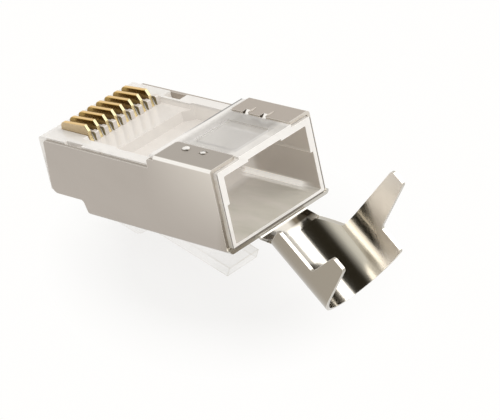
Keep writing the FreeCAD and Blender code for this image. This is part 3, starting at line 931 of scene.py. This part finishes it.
def make_post_plastic():
    material, tree, shader = new_material("comb_plastic")
    clouds = use_group(tree, SMUDGES, Scale=900.0, Stretch=(1.0, 1.0, 1.0), Low=0.3, High=0.75)
    side = overlap(tree, faces_either_way(tree, ACROSS, *SIDE_ON), past(tree, ALONG, *POST_SIDE_FROM))
    color = mix_colors(tree, side, mix_colors(tree, clouds, POST_LIGHT, POST_DARK), POST_SIDE_SHADE)
    set_shader(tree, shader, {"Base Color": color, "Roughness": between(tree, clouds, *POST_GLOSS)})
    return material


POST_PLASTIC = make_post_plastic()
print("finish:", POST_PLASTIC.name)

# %% [markdown]
# The posts are all alike and one pitch apart, which is what Geometry Nodes are good at: one post
# is placed on every point of a line across the plug. Copying it by hand would work as well, but a
# change of pitch or number would mean starting again. The result becomes one plain mesh, since
# instances are lost when a model is exported.

# %% Row of comb posts
PIN_PITCH = 1.02
POST_COUNT = 8
FIRST_POST = -3.06
POST_WIDTH = 0.42
POST_PROFILE = [(4.1, 5.75), (4.74, 5.75), (4.68, 6.6), (4.58, 6.68), (4.16, 6.68), (4.1, 6.6)]


def profile_mesh(name, profile, width, middle):
    """A level side outline, given a width across the plug."""
    mesh = bpy.data.meshes.new(name)
    corners = [level_point(x, middle + side * width / 2, z) for side in (-1, 1) for x, z in profile]
    count = len(profile)
    outline = [tuple(range(count)), tuple(range(2 * count - 1, count - 1, -1))]
    outline += [(i, i + count, (i + 1) % count + count, (i + 1) % count) for i in range(count)]
    mesh.from_pydata(corners, [], outline)
    return mesh


def make_row_group(material):
    """Geometry Nodes that repeat what they are given along a row across the plug."""
    group = bpy.data.node_groups.new("row_across", "GeometryNodeTree")
    group.interface.new_socket("Geometry", in_out="INPUT", socket_type="NodeSocketGeometry")
    count = group.interface.new_socket("Count", in_out="INPUT", socket_type="NodeSocketInt")
    pitch = group.interface.new_socket("Pitch", in_out="INPUT", socket_type="NodeSocketFloat")
    group.interface.new_socket("Geometry", in_out="OUTPUT", socket_type="NodeSocketGeometry")
    given = group.nodes.new("NodeGroupInput")
    put = group.nodes.new("NodeGroupOutput")
    step = group.nodes.new("ShaderNodeCombineXYZ")
    row = group.nodes.new("GeometryNodeMeshLine")
    repeat = group.nodes.new("GeometryNodeInstanceOnPoints")
    real = group.nodes.new("GeometryNodeRealizeInstances")
    finish = group.nodes.new("GeometryNodeSetMaterial")
    finish.inputs["Material"].default_value = material
    link = group.links.new
    link(given.outputs["Pitch"], step.inputs["Y"])
    link(given.outputs["Count"], row.inputs["Count"])
    link(step.outputs[0], row.inputs["Offset"])
    link(row.outputs["Mesh"], repeat.inputs["Points"])
    link(given.outputs["Geometry"], repeat.inputs["Instance"])
    link(repeat.outputs[0], real.inputs[0])
    link(real.outputs[0], finish.inputs["Geometry"])
    link(finish.outputs[0], put.inputs["Geometry"])
    return group, count.identifier, pitch.identifier


def add_posts():
    source = bpy.data.objects.new("post_source", profile_mesh("post", POST_PROFILE, POST_WIDTH, FIRST_POST))
    bpy.context.scene.collection.objects.link(source)
    group, count_id, pitch_id = make_row_group(POST_PLASTIC)
    modifier = source.modifiers.new("row", "NODES")
    modifier.node_group = group
    modifier[count_id] = POST_COUNT
    modifier[pitch_id] = PIN_PITCH * MILLIMETRE
    ready = source.evaluated_get(bpy.context.evaluated_depsgraph_get())
    mesh = bpy.data.meshes.new_from_object(ready)
    source.modifiers.clear()
    bpy.data.objects.remove(source)
    posts = bpy.data.objects.new("comb_posts", mesh)
    bpy.context.scene.collection.objects.link(posts)
    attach(posts, "plug_body")
    return posts


posts = add_posts()
print("comb posts:", POST_COUNT, "faces:", len(posts.data.polygons))

# %% [markdown]
# ## Barb ridges
# Each barb leaves a small raised ridge where the tool lanced the tab. The two on the near tab get
# a painted highlight on top and painted shade round the foot, and the two on the far tab a dimmer
# painted highlight, as they lie in its shade. In the shield's own nickel they would be lost
# against the tab.

# %% Ridge metal
# Painted light: the top tones are painted highlights, dimmer on the far tab, and the skirt tone is painted
# shade.
RIDGE_HIGHLIGHT = (1.0, 0.98, 0.95)
RIDGE_HIGHLIGHT_DIM = (0.90, 0.87, 0.82)
RIDGE_SKIRT_SHADE = (0.30, 0.27, 0.235)
RIDGE_FAR_HIGHLIGHT = (0.66, 0.60, 0.53)
RIDGE_TOP_FACING = (0.78, 0.93)
RIDGE_GLOSS = (0.35, 0.45)


def make_ridge_metal():
    material, tree, shader = new_material("ridge_metal")
    clouds = use_group(tree, SMUDGES, Scale=1500.0, Stretch=(1.0, 1.0, 1.0), Low=0.3, High=0.7)
    near = mix_colors(tree, clouds, RIDGE_HIGHLIGHT, RIDGE_HIGHLIGHT_DIM)
    top = mix_colors(tree, past(tree, ACROSS, *FAR_HALF), near, RIDGE_FAR_HIGHLIGHT)
    color = mix_colors(tree, faces(tree, UPWARD, *RIDGE_TOP_FACING), RIDGE_SKIRT_SHADE, top)
    set_shader(tree, shader, {"Base Color": color, "Metallic": 1.0,
                              "Roughness": between(tree, clouds, *RIDGE_GLOSS)})
    return material


RIDGE_METAL = make_ridge_metal()
print("finish:", RIDGE_METAL.name)

# %% [markdown]
# A ridge is a low dome, stretched along or across the plug. Rings of corners that shrink as they
# rise give any such dome with a few lines. Sculpting would give a livelier one, but at half a
# millimetre nobody would see it. The dome's foot lies a little inside the tab and is closed.

# %% Barb ridges
RIDGES = [((16.5, -3.62, 7.6), (0.44, 0.38, 0.16)), ((18.5, -3.64, 7.6), (0.3, 0.26, 0.12)),
          ((16.72, 3.95, 7.6), (0.13, 0.55, 0.07)), ((18.78, 3.95, 7.6), (0.13, 0.55, 0.07))]
RIDGE_RINGS = 6
RIDGE_SEGMENTS = 20
RIDGE_SUNK = 0.15


def dome(center, size, first):
    """The corners and faces of a low dome, whose corners are numbered from first."""
    (x, y, z), (along, across, high) = center, size
    corners = []
    for ring in range(RIDGE_RINGS):
        lift = math.radians(90.0 * ring / RIDGE_RINGS)
        for index in range(RIDGE_SEGMENTS):
            turn = math.radians(360.0 * index / RIDGE_SEGMENTS)
            corners.append(level_point(x + along * math.cos(lift) * math.cos(turn),
                                       y + across * math.cos(lift) * math.sin(turn),
                                       z + high * (math.sin(lift) - RIDGE_SUNK)))
    corners.append(level_point(x, y, z + high * (1.0 - RIDGE_SUNK)))
    walls = []
    for ring in range(RIDGE_RINGS - 1):
        for index in range(RIDGE_SEGMENTS):
            low = first + ring * RIDGE_SEGMENTS + index
            after = first + ring * RIDGE_SEGMENTS + (index + 1) % RIDGE_SEGMENTS
            walls.append((low, after, after + RIDGE_SEGMENTS, low + RIDGE_SEGMENTS))
    last = first + (RIDGE_RINGS - 1) * RIDGE_SEGMENTS
    walls += [(last + index, last + (index + 1) % RIDGE_SEGMENTS, first + len(corners) - 1)
              for index in range(RIDGE_SEGMENTS)]
    walls.append(tuple(range(first + RIDGE_SEGMENTS - 1, first - 1, -1)))
    return corners, walls


def add_ridges():
    corners = []
    walls = []
    for center, size in RIDGES:
        more_corners, more_walls = dome(center, size, len(corners))
        corners += more_corners
        walls += more_walls
    mesh = bpy.data.meshes.new("barb_ridges")
    mesh.from_pydata(corners, [], walls)
    mesh.shade_smooth()
    mesh.materials.append(RIDGE_METAL)
    ridges = bpy.data.objects.new("barb_ridges", mesh)
    bpy.context.scene.collection.objects.link(ridges)
    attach(ridges, "plug_body")
    return ridges


ridges = add_ridges()
print("ridge faces:", len(ridges.data.polygons))

# %% [markdown]
# ## Finish
# The colour management is plain, so that a colour renders as it was written. A filmic view would
# be kinder to bright spots, but it would shift every tone that was matched.

# %% Finish
bpy.context.scene.view_settings.view_transform = "Standard"
